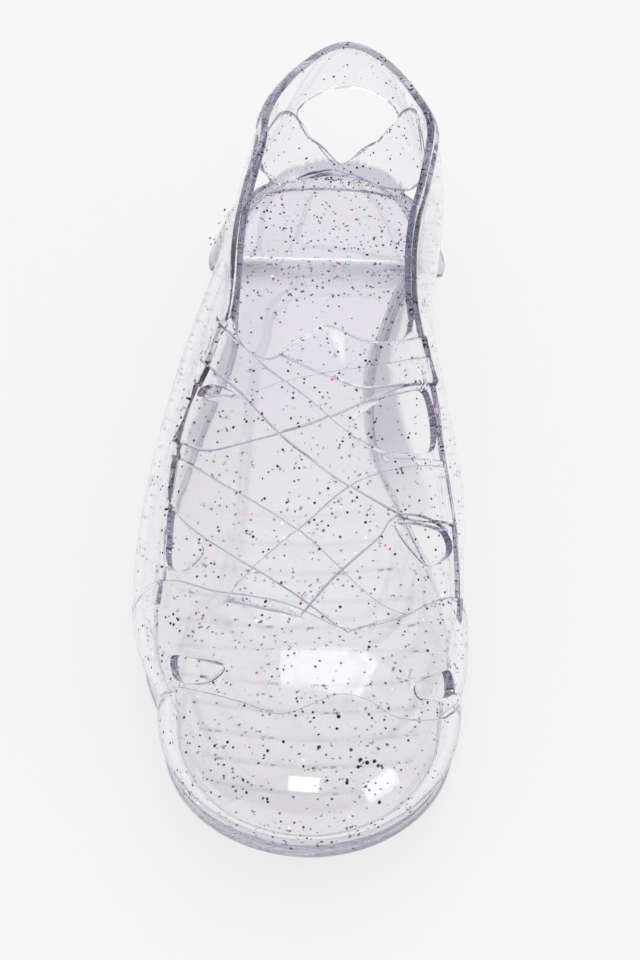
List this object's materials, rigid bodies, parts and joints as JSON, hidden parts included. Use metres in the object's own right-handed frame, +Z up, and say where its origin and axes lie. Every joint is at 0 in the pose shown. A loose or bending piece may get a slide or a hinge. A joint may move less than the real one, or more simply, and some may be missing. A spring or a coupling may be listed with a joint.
{
  "type": "jelly sandal",
  "caption": "Clear moulded jelly sandal with crossed straps over a closed toe, a high cut-out heel band, a grooved sole and a low flared heel block.",
  "frame": {"origin": "middle of the heel block's length, on its flat underside", "axes": "toe to -Y, medial side to +X, +Z up from the floor"},
  "size_m": [0.0905, 0.2404, 0.0732],
  "materials": {
    "clear_plastic": "clear with glitter",
    "sole_plastic": "clear with glitter",
    "footbed_plastic": "clear with glitter",
    "heel_plastic": "clear with glitter"
  },
  "bodies": {
    "root": {"upper": "clear_plastic", "outsole": "sole_plastic", "insole": "footbed_plastic", "heel_block": "heel_plastic"}
  },
  "joints": []
}
